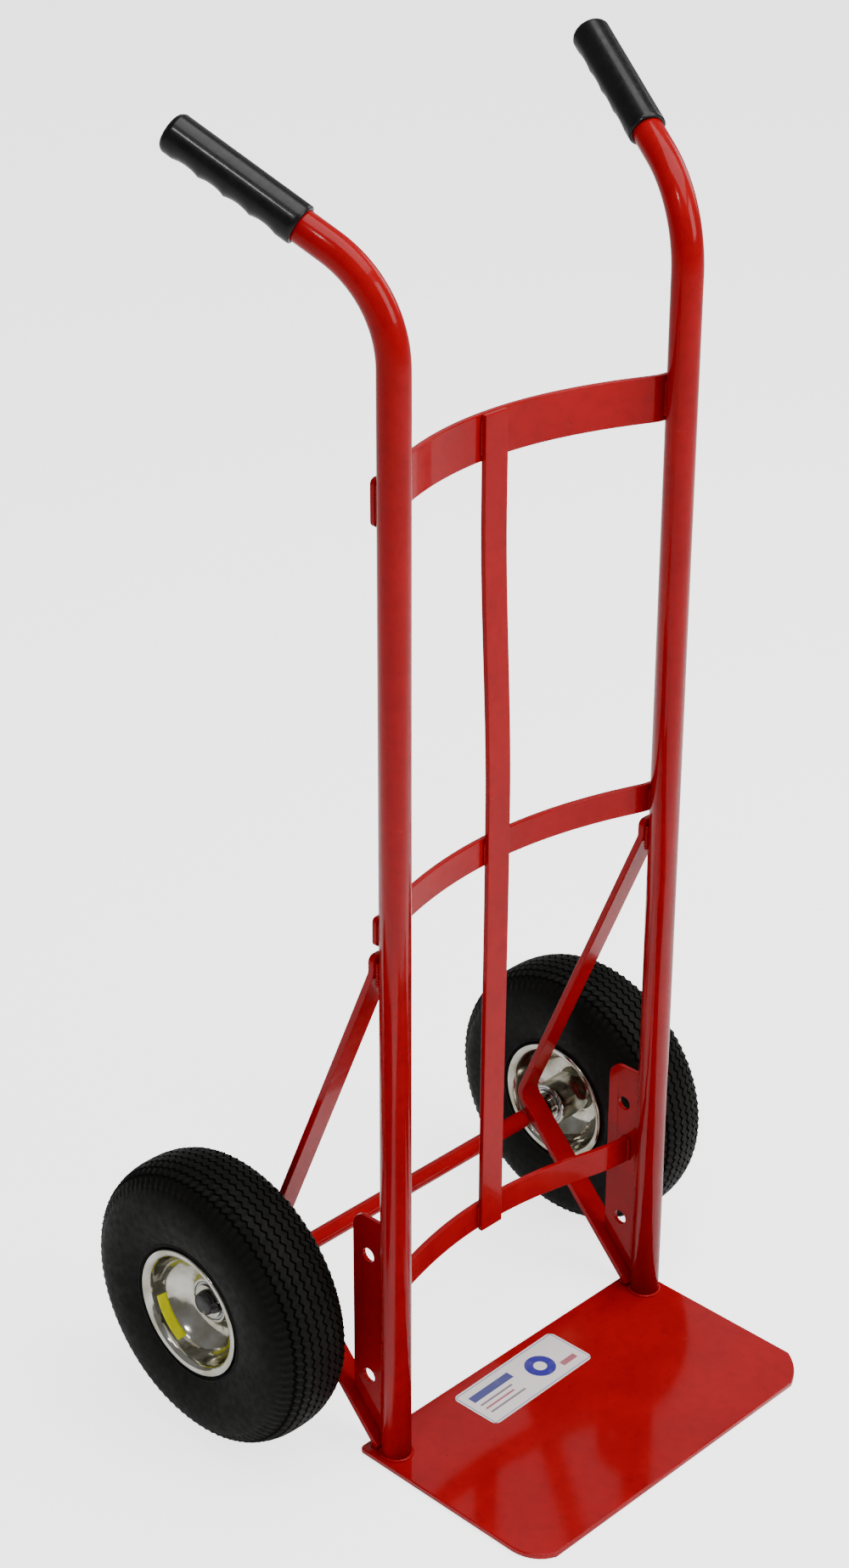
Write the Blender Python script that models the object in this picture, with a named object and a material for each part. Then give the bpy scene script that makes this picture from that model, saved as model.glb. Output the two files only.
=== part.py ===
"""Two-wheel hand truck: welded tube frame, bowed cross straps, toe plate and two pneumatic wheels.

Units are metres, +Z up. The load side and the toe plate face -Y, and X runs from left to right.
"""
import math

import bmesh
import bpy
from mathutils import Matrix, Vector

# --- frame ---------------------------------------------------------------------------------
GAP = 0.0003                 # clearance between neighbouring pieces
RAIL_X = 0.160               # rail centre line from the middle plane
RAIL_Y = -0.0455             # plane of the upright rails, so that the whole is centred front to back
RAIL_R = 0.0127              # 25.4 mm tube
RAIL_WALL = 0.002
TUBE_SEGMENTS = 16
BEND_Z = 0.951               # the uprights bend back above this height
BEND_R = 0.096
BEND_ANGLE = math.radians(60.0)
SPLAY = math.radians(21.0)   # the handles also lean outwards
HANDLE_LENGTH = 0.136        # straight tube beyond the bend
GRIP_START = 0.025           # along the straight tube
GRIP_LENGTH = 0.114
GRIP_R = 0.0150
GROOVE_DEPTH = 0.0014
GROOVES = 4

PLATE_T = 0.005
PLATE_HALF_WIDTH = 0.1778    # 14 inch toe plate
PLATE_FRONT = -0.177         # from the rail plane
PLATE_BACK = 0.026
PLATE_LEFT_CORNER = (0.0205, 0.029, 0.0052)    # cut from the front, cut from the side, bow
PLATE_RIGHT_CORNER = (0.031, 0.027, 0.0036)
PLATE_BACK_CORNER_R = 0.004

STRAP_T = 0.0048
STRAP_END = 0.167
TOP_STRAP_Z = (0.831, 0.869)
MID_STRAP_Z = (0.487, 0.512)
LOW_STRAP_Z = (0.133, 0.158)
CENTRE_HALF_WIDTH = 0.0127

BAR_T = 0.006
BAR_HALF_WIDTH = 0.011
BRACE_TOP = 0.480
BRACE_APEX = (0.1478, 0.1506)     # y from the rail plane, z
BRACE_FOOT = (0.0103, 0.0053)
BRACE_KNEE_Z = 0.4643

BRACKET_T = 0.004
BRACKET_BACK = 0.0475
BRACKET_TOP = 0.227
BRACKET_CORNER_R = 0.014
BRACKET_HOLE_R = 0.0065
BRACKET_HOLES = ((0.030, 0.190), (0.030, 0.0685))

# --- wheels --------------------------------------------------------------------------------
AXLE_Y = 0.141               # behind the rail plane
WHEEL_R = 0.127              # 10 inch wheel
AXLE_Z = WHEEL_R
AXLE_R = 0.0079
WHEEL_X = 0.227              # middle plane of each wheel
AXLE_END = 0.246
HUB_R = 0.0200
HUB_IN = -0.0450             # hub ends, measured outwards from the wheel's middle plane
HUB_OUT = 0.0120
BEARING_R = 0.0175           # 35 mm bearing on the 16 mm axle
BEARING_W = 0.0110
HUB_BORE_R = 0.0155
CUP_LIP_R = 0.0130
CUP_RACE_R = 0.0145
CONE_R = 0.0125
WASHER_R = 0.0150
WASHER_T = 0.0016
SPACER_R = 0.0120
TUBE_MIDDLE_R = 0.0868       # middle of the inner tube's section
VALVE_TURN = math.radians(150.0)
RIM_LABEL = ((0.0195, 0.0475), (0.0330, 0.0480), (0.0330, 0.0478), (0.0195, 0.0473))
RIM_LABEL_TURN = math.radians(-38.0)
RIM_LABEL_SWEEP = math.radians(56.0)
TYRE_SEGMENTS = 40
SEGMENTS = 32
SMALL_SEGMENTS = 20

RED = (0.45, 0.004, 0.006)
BLACK = (0.012, 0.012, 0.012)


def clear_scene():
    for obj in list(bpy.data.objects):
        bpy.data.objects.remove(obj, do_unlink=True)


def material(name, colour, metallic, roughness):
    found = bpy.data.materials.get(name)
    if found:
        return found
    made = bpy.data.materials.new(name)
    made.use_nodes = True
    shader = made.node_tree.nodes["Principled BSDF"]
    shader.inputs["Base Color"].default_value = (*colour, 1.0)
    shader.inputs["Metallic"].default_value = metallic
    shader.inputs["Roughness"].default_value = roughness
    made.diffuse_color = (*colour, 1.0)
    return made


def paint():
    return material("red_paint", RED, 0.0, 0.25)


def rubber():
    return material("tyre_rubber", BLACK, 0.0, 0.7)


def zinc():
    return material("bright_zinc", (0.62, 0.63, 0.62), 1.0, 0.2)


def steel():
    return material("bearing_steel", (0.5, 0.5, 0.52), 1.0, 0.3)


def add(name, work, mat, origin=(0.0, 0.0, 0.0)):
    """The finished bmesh as one closed body, drawn about its own origin and placed there."""
    bmesh.ops.remove_doubles(work, verts=work.verts, dist=1e-6)
    loose = [e for e in work.edges if not e.link_faces]
    bmesh.ops.delete(work, geom=loose, context="EDGES")
    bmesh.ops.recalc_face_normals(work, faces=work.faces)
    if work.calc_volume(signed=True) < 0:
        bmesh.ops.reverse_faces(work, faces=work.faces)
    mesh = bpy.data.meshes.new(name)
    work.to_mesh(mesh)
    work.free()
    mesh.shade_smooth()
    mesh.set_sharp_from_angle(angle=math.radians(35.0))
    mesh.materials.append(mat)
    obj = bpy.data.objects.new(name, mesh)
    obj.location = origin
    bpy.context.scene.collection.objects.link(obj)
    return obj


def cut(obj, cutter):
    cutter.hide_render = True
    cutter.display_type = "WIRE"
    made = obj.modifiers.new(cutter.name, "BOOLEAN")
    made.operation = "DIFFERENCE"
    made.object = cutter
    made.solver = "EXACT"


def loop(work, points):
    """The edges of a closed loop through the points."""
    verts = [work.verts.new(p) for p in points]
    return [work.edges.new((verts[i - 1], verts[i])) for i in range(len(verts))]


def skin(work, rings, closed=False):
    """Joins each ring to the next. closed joins the last to the first, otherwise both ends are capped."""
    rows = [[work.verts.new(p) for p in ring] for ring in rings]
    pairs = list(zip(rows, rows[1:]))
    if closed:
        pairs.append((rows[-1], rows[0]))
    for first, second in pairs:
        for i in range(len(first)):
            work.faces.new((first[i - 1], first[i], second[i], second[i - 1]))
    if not closed:
        work.faces.new(rows[0])
        work.faces.new(rows[-1])


def wheel_centre(side):
    return Vector((side * WHEEL_X, RAIL_Y + AXLE_Y, AXLE_Z))


def turned(name, profile, side, mat, segments=SEGMENTS):
    """A ring turned about the axle from (u, r) points, u running outwards from the wheel's middle."""
    work = bmesh.new()
    edges = loop(work, [(side * u, 0.0, -r) for u, r in profile])
    bmesh.ops.spin(
        work, geom=list(work.verts) + edges, cent=(0, 0, 0), axis=(1, 0, 0), dvec=(0, 0, 0),
        angle=2 * math.pi, steps=segments, use_merge=True,
    )
    return add(name, work, mat, wheel_centre(side))


def prism(name, outline, low, high, axis, mat):
    """A flat outline extruded along an axis: (x, y) points along Z, or (y, z) points along X."""
    work = bmesh.new()
    if axis == "Z":
        points = [(x, RAIL_Y + y, low) for x, y in outline]
        push = (0, 0, high - low)
    else:
        points = [(low, RAIL_Y + y, z) for y, z in outline]
        push = (high - low, 0, 0)
    face = work.faces.new([work.verts.new(p) for p in points])
    made = bmesh.ops.extrude_face_region(work, geom=[face])
    moved = [v for v in made["geom"] if isinstance(v, bmesh.types.BMVert)]
    bmesh.ops.translate(work, verts=moved, vec=push)
    return add(name, work, mat)


def rod(name, start, end, radius, mat, segments=SMALL_SEGMENTS, origin=None):
    """A round bar. Its origin is its middle, or the point given for a piece that turns."""
    start = Vector(start)
    end = Vector(end)
    middle = (start + end) / 2
    origin = middle if origin is None else origin
    turn = (end - start).to_track_quat("Z", "Y").to_matrix().to_4x4()
    work = bmesh.new()
    bmesh.ops.create_cone(
        work, cap_ends=True, segments=segments, radius1=radius, radius2=radius,
        depth=(end - start).length, matrix=Matrix.Translation(middle - origin) @ turn,
    )
    return add(name, work, mat, origin)


def offset(path, distance):
    """The path moved sideways to its left."""
    moved = []
    for i, point in enumerate(path):
        before = Vector(path[max(i - 1, 0)])
        after = Vector(path[min(i + 1, len(path) - 1)])
        here = Vector(point)
        first = (here - before).normalized() if i else (after - here).normalized()
        last = (after - here).normalized() if i < len(path) - 1 else first
        tangent = (first + last).normalized()
        stretch = 1.0 / max(tangent.dot(first), 0.5)
        moved.append((here.x - tangent.y * distance * stretch, here.y + tangent.x * distance * stretch))
    return moved


def clip(outline, point, normal):
    """The part of a flat outline on the normal's side of a line."""
    kept = []
    side = [(p[0] - point[0]) * normal[0] + (p[1] - point[1]) * normal[1] for p in outline]
    for i, p in enumerate(outline):
        q = outline[i - 1]
        if (side[i] >= 0) != (side[i - 1] >= 0):
            t = side[i - 1] / (side[i - 1] - side[i])
            kept.append((q[0] + t * (p[0] - q[0]), q[1] + t * (p[1] - q[1])))
        if side[i] >= 0:
            kept.append(p)
    return kept


def rounded(points, radii, steps=6):
    """A path whose corners are replaced by arcs."""
    made = [points[0]]
    for i in range(1, len(points) - 1):
        here = Vector(points[i])
        back = (Vector(points[i - 1]) - here).normalized()
        ahead = (Vector(points[i + 1]) - here).normalized()
        half = back.angle(ahead) / 2
        reach = radii[i - 1] / math.tan(half)
        centre = here + (back + ahead).normalized() * radii[i - 1] / math.sin(half)
        start = here + back * reach - centre
        turn = math.pi - 2 * half
        sign = 1 if back.cross(ahead) < 0 else -1
        for k in range(steps + 1):
            a = sign * turn * k / steps
            made.append((
                centre.x + start.x * math.cos(a) - start.y * math.sin(a),
                centre.y + start.x * math.sin(a) + start.y * math.cos(a),
            ))
    made.append(points[-1])
    return made


# --- rails and grips -----------------------------------------------------------------------
def rail_frame(side):
    """Where the rail bends, the direction that it leans in, and the normal of that plane."""
    foot = Vector((side * RAIL_X, RAIL_Y, 0.0))
    lean = Vector((side * math.sin(SPLAY), math.cos(SPLAY), 0.0))
    normal = Vector((-lean.y, lean.x, 0.0))
    return foot, lean, normal


def handle_point(side, along):
    """A point and direction on the straight handle, measured from the end of the bend."""
    foot, lean, _ = rail_frame(side)
    start = (
        foot
        + Vector((0, 0, BEND_Z + BEND_R * math.sin(BEND_ANGLE)))
        + lean * BEND_R * (1 - math.cos(BEND_ANGLE))
    )
    direction = lean * math.sin(BEND_ANGLE) + Vector((0, 0, math.cos(BEND_ANGLE)))
    return start + direction * along, direction


def ring_at(centre, tangent, normal, radius, swell=0.0):
    """A circle of points across the handle, swollen or pinched on its underside."""
    other = tangent.cross(normal)
    ring = []
    for i in range(TUBE_SEGMENTS):
        a = 2 * math.pi * i / TUBE_SEGMENTS
        r = radius + swell * max(0.0, -math.sin(a)) ** 1.5
        ring.append(centre + normal * r * math.cos(a) + other * r * math.sin(a))
    return ring


def rail(name, side):
    foot, lean, normal = rail_frame(side)
    up = Vector((0, 0, 1))
    stations = [(foot + up * (PLATE_T + GAP), up)]
    for i in range(9):
        a = BEND_ANGLE * i / 8
        centre = foot + up * (BEND_Z + BEND_R * math.sin(a)) + lean * BEND_R * (1 - math.cos(a))
        stations.append((centre, lean * math.sin(a) + up * math.cos(a)))
    stations.append(handle_point(side, HANDLE_LENGTH))
    outer = [ring_at(c, t, normal, RAIL_R) for c, t in stations]
    inner = [ring_at(c, t, normal, RAIL_R - RAIL_WALL) for c, t in stations]
    work = bmesh.new()
    skin(work, outer + inner[::-1], closed=True)
    return add(name, work, paint())


def grip(name, side):
    """A sleeve with a closed end and finger grooves underneath."""
    _, _, normal = rail_frame(side)
    outer = []
    steps = 20
    for i in range(steps + 1):
        along = GRIP_LENGTH * i / steps
        wave = 0.5 - 0.5 * math.cos(2 * math.pi * GROOVES * min(along / (GRIP_LENGTH - 0.012), 1.0))
        centre, direction = handle_point(side, GRIP_START + along)
        outer.append(ring_at(centre, direction, normal, GRIP_R, (0.6 - wave) * GROOVE_DEPTH))
    tip, direction = handle_point(side, GRIP_START + GRIP_LENGTH + 0.002)
    outer.append(ring_at(tip, direction, normal, GRIP_R - 0.0045))
    bore_r = RAIL_R + GAP
    inner = []
    for along in (0.0, HANDLE_LENGTH - GRIP_START + GAP):
        centre, direction = handle_point(side, GRIP_START + along)
        inner.append(ring_at(centre, direction, normal, bore_r))
    work = bmesh.new()
    skin(work, inner[::-1] + outer)
    return add(name, work, material("black_grip", BLACK, 0.0, 0.25))


# --- straps --------------------------------------------------------------------------------
def strap(name, depth, bow, seat, blend, end, levels):
    """A flat bar bowed backwards between the rails; its front face is depth behind the rail plane."""
    front = []
    steps = 32
    for i in range(steps + 1):
        x = -end + 2 * end * i / steps
        free = (depth - bow * x * x - seat) / blend
        front.append((x, seat + blend * math.log1p(math.exp(free))))
    outline = front + offset(front, STRAP_T)[::-1]
    return prism(name, outline, levels[0], levels[1], "Z", paint())


def centre_strap(name):
    """The upright bar in front of the three cross straps."""
    knots = (
        (0.1325, 0.0465), (0.160, 0.0465), (0.487, 0.0445),
        (0.540, 0.0445), (0.790, 0.0528), (0.869, 0.0528),
    )
    rear = []
    for (z0, y0), (z1, y1) in zip(knots, knots[1:]):
        for i in range(5):
            t = i / 5
            rear.append((y0 + (y1 - y0) * (3 * t * t - 2 * t * t * t), z0 + (z1 - z0) * t))
    rear.append((knots[-1][1], knots[-1][0]))
    outline = rear + offset(rear, STRAP_T)[::-1]
    return prism(name, outline, -CENTRE_HALF_WIDTH, CENTRE_HALF_WIDTH, "X", paint())


# --- braces, brackets and toe plate --------------------------------------------------------
def brace(name, side):
    """A flat bar from the rail's back, bent over the axle and down to the toe plate."""
    back = RAIL_R + GAP
    middle = [
        (back + BAR_T / 2, BRACE_TOP),
        (back + BAR_T / 2, BRACE_KNEE_Z),
        BRACE_APEX,
        BRACE_FOOT,
    ]
    middle = rounded(middle, (0.012, 0.009))
    outline = offset(middle, BAR_T / 2) + offset(middle, -BAR_T / 2)[::-1]
    outline = clip(outline, (0.0, PLATE_T + GAP), (0, 1))
    outline = clip(outline, (back, 0.0), (1, 0))
    x = side * RAIL_X
    return prism(name, outline, x - BAR_HALF_WIDTH, x + BAR_HALF_WIDTH, "X", paint())


def brace_top_face():
    """A point on the upper face of the brace's lower leg, and that leg's slope."""
    run = BRACE_APEX[0] - BRACE_FOOT[0]
    rise = BRACE_APEX[1] - BRACE_FOOT[1]
    length = math.hypot(run, rise)
    shift = BAR_T / 2 + GAP + 0.0002
    return (BRACE_FOOT[0] - shift * rise / length, BRACE_FOOT[1] + shift * run / length), rise / run


def bracket(name, side):
    """The drilled plate behind the foot of a rail."""
    near = RAIL_R + GAP
    (y0, z0), slope = brace_top_face()
    r = BRACKET_CORNER_R
    outline = [
        (near, z0 + slope * (near - y0)),
        (BRACKET_BACK, z0 + slope * (BRACKET_BACK - y0)),
    ]
    for i in range(7):
        a = math.pi / 2 * i / 6
        outline.append((BRACKET_BACK - r + r * math.cos(a), BRACKET_TOP - r + r * math.sin(a)))
    outline.append((near, BRACKET_TOP))
    x = side * RAIL_X
    made = prism(name, outline, x - BRACKET_T / 2, x + BRACKET_T / 2, "X", paint())
    for i, (y, z) in enumerate(BRACKET_HOLES):
        start = (x - 0.01, RAIL_Y + y, z)
        end = (x + 0.01, RAIL_Y + y, z)
        cut(made, rod(f"{name}_hole_{i}", start, end, BRACKET_HOLE_R, paint()))
    return made


def bowed(start, end, bow, steps=8):
    """Points of a shallow arc that bulges to the right of its own direction."""
    start, end = Vector(start), Vector(end)
    run = end - start
    out = Vector((run.y, -run.x)).normalized()
    made = []
    for i in range(steps + 1):
        t = i / steps
        made.append(tuple(start + run * t + out * 4 * bow * t * (1 - t)))
    return made


def toe_plate(name):
    """A sheared plate whose front corners are cut off with a slight bow."""
    w = PLATE_HALF_WIDTH
    small = PLATE_BACK_CORNER_R
    outline = []
    for cx, start in ((w - small, 0.0), (-w + small, 90.0)):
        for i in range(5):
            a = math.radians(start + 90.0 * i / 4)
            outline.append((cx + small * math.cos(a), PLATE_BACK - small + small * math.sin(a)))
    front, side, bow = PLATE_LEFT_CORNER
    outline += bowed((-w, PLATE_FRONT + side), (-w + front, PLATE_FRONT), bow)
    front, side, bow = PLATE_RIGHT_CORNER
    outline += bowed((w - front, PLATE_FRONT), (w, PLATE_FRONT + side), bow)
    return prism(name, outline, 0.0, PLATE_T, "Z", paint())


def plate_label(name):
    """A plain sticker on the toe plate."""
    centre = Vector((-0.0125, -0.0095))
    turn = math.radians(1.2)
    outline = []
    for sx, sy, start in ((1, 1, 0.0), (-1, 1, 90.0), (-1, -1, 180.0), (1, -1, 270.0)):
        for i in range(5):
            a = math.radians(start + 90.0 * i / 4)
            x = sx * (0.064 - 0.006) + 0.006 * math.cos(a)
            y = sy * (0.025 - 0.006) + 0.006 * math.sin(a)
            outline.append((
                centre.x + x * math.cos(turn) - y * math.sin(turn),
                centre.y + x * math.sin(turn) + y * math.cos(turn),
            ))
    level = PLATE_T + GAP
    return prism(name, outline, level, level + 0.0002, "Z", material("label", (0.85, 0.85, 0.82), 0.0, 0.4))


# --- wheels --------------------------------------------------------------------------------
def tyre_profile():
    """Outside of the tyre from one bead to the other, then back along the inside."""
    half = [
        (0.0000, 0.1270), (0.0130, 0.1263), (0.0240, 0.1230), (0.0330, 0.1155), (0.0390, 0.1030),
        (0.0410, 0.0890), (0.0402, 0.0750), (0.0370, 0.0640), (0.0339, 0.0560), (0.0337, 0.0513),
        (0.0255, 0.0509),
    ]
    inside = [
        (0.0250, 0.0560), (0.0330, 0.0690), (0.0360, 0.0860), (0.0335, 0.1000), (0.0240, 0.1130),
        (0.0120, 0.1183), (0.0000, 0.1192),
    ]
    right = half + inside
    left = [(-u, r) for u, r in reversed(right)][1:-1]
    return right + left


def rim_profile(direction):
    """One stamped half of the rim, 2 mm sheet, from the rolled lip to the welded centre disc."""
    outside = [
        (0.0366, 0.0565), (0.0360, 0.0573), (0.0347, 0.0570), (0.0341, 0.0545), (0.0340, 0.0506),
        (0.0170, 0.0499), (0.0105, 0.0430), (0.0020, 0.0428), (0.00015, 0.0415),
        (0.00015, HUB_R + GAP),
    ]
    inside = [
        (0.00215, HUB_R + GAP), (0.00215, 0.0400), (0.0030, 0.0408), (0.0113, 0.0410),
        (0.0180, 0.0480), (0.0350, 0.0486), (0.0360, 0.0500), (0.0361, 0.0548),
    ]
    return [(direction * u, r) for u, r in outside + inside]


def oval(half_width, half_height, count=10):
    """The section of the inner tube."""
    turns = [2 * math.pi * i / count for i in range(count)]
    return [(half_width * math.cos(a), TUBE_MIDDLE_R + half_height * math.sin(a)) for a in turns]


def wheel(prefix, side):
    centre = wheel_centre(side)
    out = Vector((side, 0, 0))
    radial = Vector((0, math.cos(VALVE_TURN), math.sin(VALVE_TURN)))
    turned(prefix + "_tyre", tyre_profile(), side, rubber(), TYRE_SEGMENTS)

    tube = turned(prefix + "_inner_tube", oval(0.0318, 0.0305), side, rubber(), SMALL_SEGMENTS)
    cut(tube, turned(prefix + "_tube_air", oval(0.0298, 0.0285), side, rubber(), SMALL_SEGMENTS))
    start = centre + radial * 0.050
    cut(tube, rod(prefix + "_tube_port", start, start + radial * 0.020, 0.003, rubber(), 16))

    outer_half = turned(prefix + "_rim_outer", rim_profile(1), side, zinc())
    turned(prefix + "_rim_inner", rim_profile(-1), side, zinc())
    middle = centre + out * 0.0143 + radial * 0.0454
    along = (out * 0.73 - radial * 0.683).normalized()
    hole = rod(prefix + "_valve_hole", middle - along * 0.012, middle + along * 0.010, 0.0041, zinc(), 16)
    cut(outer_half, hole)
    start, end = middle - along * 0.0065, middle + along * 0.017
    rod(prefix + "_valve_stem", start, end, 0.0037, rubber(), 16, centre)
    cap = material("valve_cap", BLACK, 0.0, 0.4)
    start, end = middle + along * 0.0173, middle + along * 0.0245
    rod(prefix + "_valve_cap", start, end, 0.0042, cap, 16, centre)

    hub_and_bearings(prefix, side)
    axle_hardware(prefix, side)

    work = bmesh.new()
    edges = loop(work, [(side * u, r, 0.0) for u, r in RIM_LABEL])
    bmesh.ops.rotate(
        work, verts=work.verts, cent=(0, 0, 0),
        matrix=Matrix.Rotation(RIM_LABEL_TURN - RIM_LABEL_SWEEP / 2, 3, "X"),
    )
    bmesh.ops.spin(
        work, geom=list(work.verts) + edges, cent=(0, 0, 0), axis=(1, 0, 0), dvec=(0, 0, 0),
        angle=RIM_LABEL_SWEEP, steps=12, use_merge=False,
    )
    bmesh.ops.holes_fill(work, edges=[e for e in work.edges if e.is_boundary], sides=4)
    add(prefix + "_rim_label", work, material("rim_label", (0.75, 0.72, 0.0), 0.0, 0.4), centre)


def hub_and_bearings(prefix, side):
    """The hub tube, counterbored at both ends for a bearing whose cup turns and whose cone stays still."""
    seat = BEARING_R + GAP
    inner_step = HUB_IN + BEARING_W + GAP
    outer_step = HUB_OUT - BEARING_W - GAP
    hub = [
        (HUB_IN, HUB_R), (HUB_OUT, HUB_R), (HUB_OUT, seat), (outer_step, seat), (outer_step, HUB_BORE_R),
        (inner_step, HUB_BORE_R), (inner_step, seat), (HUB_IN, seat),
    ]
    turned(prefix + "_hub", hub, side, zinc(), SMALL_SEGMENTS)
    for place, low in (("inner", HUB_IN), ("outer", HUB_OUT - BEARING_W)):
        high = low + BEARING_W
        cup = [
            (low, BEARING_R), (high, BEARING_R), (high, CUP_LIP_R), (high - 0.001, CUP_LIP_R),
            (high - 0.001, CUP_RACE_R), (low + 0.001, CUP_RACE_R), (low + 0.001, CUP_LIP_R), (low, CUP_LIP_R),
        ]
        turned(f"{prefix}_bearing_{place}_cup", cup, side, steel(), SMALL_SEGMENTS)
        turned(f"{prefix}_bearing_{place}_cone", sleeve(low, high, CONE_R), side, steel(), SMALL_SEGMENTS)


def sleeve(low, high, radius):
    """A plain ring round the axle."""
    return [(low, radius), (high, radius), (high, AXLE_R + GAP), (low, AXLE_R + GAP)]


def axle_hardware(prefix, side):
    """Spacer, two washers and the push-on cap: all of them stay still on the axle."""
    brace_face = RAIL_X + BAR_HALF_WIDTH - WHEEL_X + GAP
    inner = HUB_IN - GAP
    outer = HUB_OUT + GAP
    for piece, low, high, radius in (
        ("spacer", brace_face, inner - WASHER_T - GAP, SPACER_R),
        ("inner_washer", inner - WASHER_T, inner, WASHER_R),
        ("outer_washer", outer, outer + WASHER_T, WASHER_R),
    ):
        turned(f"{prefix}_{piece}", sleeve(low, high, radius), side, zinc(), SMALL_SEGMENTS)
    mouth = outer + WASHER_T + GAP
    end = AXLE_END - WHEEL_X + GAP
    cap = [
        (mouth, AXLE_R + GAP), (mouth, 0.0105), (end, 0.0100), (end + 0.0025, 0.0075),
        (end + 0.0025, 0.0), (end, 0.0), (end, AXLE_R + GAP),
    ]
    turned(prefix + "_axle_cap", cap, side, material("black_cap", BLACK, 0.0, 0.4), SMALL_SEGMENTS)


def build():
    clear_scene()
    for side, word in ((-1, "left"), (1, "right")):
        rail("rail_" + word, side)
        grip("grip_" + word, side)
        brace("brace_" + word, side)
        bracket("bracket_" + word, side)
    seat = RAIL_R + GAP
    strap("top_strap", 0.0534, 1.756, seat, 0.0015, STRAP_END, TOP_STRAP_Z)
    strap("middle_strap", 0.0451, 1.314, seat, 0.0015, STRAP_END, MID_STRAP_Z)
    strap("lower_strap", 0.0470, 1.357, 0.0225, 0.0040, RAIL_X - BRACKET_T / 2 - GAP, LOW_STRAP_Z)
    centre_strap("centre_strap")
    toe_plate("toe_plate")
    plate_label("plate_label")
    tip = Vector((AXLE_END, 0, 0))
    middle = Vector((0, RAIL_Y + AXLE_Y, AXLE_Z))
    rod("axle", middle - tip, middle + tip, AXLE_R, paint())
    wheel("left", -1)
    wheel("right", 1)


build()
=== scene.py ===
# %% [markdown]
# # Hand truck
# A hand truck is a welded steel frame on two air-filled wheels. The frame and its joints come from
# the CAD model, which is loaded first and never moved. Each later step makes one group of pieces
# finely enough to be looked at closely, hides the plain CAD solid that it stands for, and lets the
# new piece ride on the same body.

# %% Load the frame
import math

import bmesh
import bpy
from mathutils import Matrix, Vector


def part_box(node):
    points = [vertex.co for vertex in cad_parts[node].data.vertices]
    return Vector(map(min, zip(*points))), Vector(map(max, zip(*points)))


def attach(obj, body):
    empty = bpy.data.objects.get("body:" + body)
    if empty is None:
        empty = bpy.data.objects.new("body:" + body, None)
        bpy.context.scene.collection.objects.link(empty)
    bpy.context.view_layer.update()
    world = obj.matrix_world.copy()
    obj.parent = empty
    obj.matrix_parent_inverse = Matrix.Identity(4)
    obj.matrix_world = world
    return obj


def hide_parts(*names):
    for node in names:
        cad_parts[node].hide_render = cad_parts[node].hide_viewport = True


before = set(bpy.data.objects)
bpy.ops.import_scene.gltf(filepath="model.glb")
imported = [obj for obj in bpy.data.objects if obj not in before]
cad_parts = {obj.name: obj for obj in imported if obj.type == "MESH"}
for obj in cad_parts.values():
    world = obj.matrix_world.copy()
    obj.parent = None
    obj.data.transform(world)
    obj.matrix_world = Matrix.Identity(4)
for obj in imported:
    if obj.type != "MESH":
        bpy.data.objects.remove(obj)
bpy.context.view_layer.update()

# %% [markdown]
# The driving sizes are measured from the frame where a CAD box gives them, so that the looks follow
# the model. A wheel's middle is the middle of its tyre's box, and the rails stand 141 mm in front of
# the axle. Pieces that are welded or pressed together leave the 0.3 mm gap that the solids have.

# %% Driving sizes
MM = 0.001
MIRROR = {"left": -1, "right": 1}


def middle(node):
    low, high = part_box(node)
    return (low + high) / 2


AXLE = middle("axle")
AXLE_HALF = (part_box("axle")[1].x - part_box("axle")[0].x) / 2
AXLE_R = 7.9 * MM
WHEEL_X = middle("right_tyre").x
RAIL_X = middle("brace_right").x
RAIL_Y = AXLE.y - 141 * MM
RAIL_R = 12.7 * MM
RAIL_WALL = 2 * MM
PLATE_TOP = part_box("toe_plate")[1].z
CONTACT = 0.3 * MM
WELD_DIST = 0.005 * MM
BEND_Z = 951 * MM
BEND_R = 96 * MM
BEND_ANGLE = math.radians(60)
SPLAY = math.radians(21)
HANDLE_LENGTH = 136 * MM
print(f"axle at y {AXLE.y:.4f} z {AXLE.z:.4f}, wheels at x {WHEEL_X:.4f}")
print(f"rails at x {RAIL_X:.4f} y {RAIL_Y:.4f}")

# %% [markdown]
# The camera stands in front of the toe plate and to the left, looking down, with a long lens. Its
# turn is given as an azimuth, an elevation and a slight roll, and a small shift frames the truck.

# %% Camera
CAMERA_PLACE = Vector((-1.5220, RAIL_Y - 1.3457, 1.5846))
CAMERA_AZIMUTH = math.radians(-43.65)
CAMERA_ELEVATION = math.radians(25.56)
CAMERA_ROLL = math.radians(-0.87)
SENSOR_MM = 36
LENS_MM = 66.01495
SHIFT_X = 0.067985
SHIFT_Y = -0.029957
back = Vector((
    math.sin(CAMERA_AZIMUTH) * math.cos(CAMERA_ELEVATION),
    -math.cos(CAMERA_AZIMUTH) * math.cos(CAMERA_ELEVATION),
    math.sin(CAMERA_ELEVATION),
))
level = Vector((0, 0, 1)).cross(back).normalized()
upright = back.cross(level)
across = math.cos(CAMERA_ROLL) * level + math.sin(CAMERA_ROLL) * upright
over = back.cross(across)
view = bpy.data.cameras.new("camera")
view.sensor_width = SENSOR_MM
view.lens = LENS_MM
view.shift_x = SHIFT_X
view.shift_y = SHIFT_Y
camera = bpy.data.objects.new("camera", view)
bpy.context.scene.collection.objects.link(camera)
facing = Matrix((across, over, back)).transposed().to_4x4()
camera.matrix_world = Matrix.Translation(CAMERA_PLACE) @ facing
bpy.context.scene.camera = camera
print(f"lens {view.lens:.1f} mm, shift {view.shift_x:.3f} {view.shift_y:.3f}")

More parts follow.
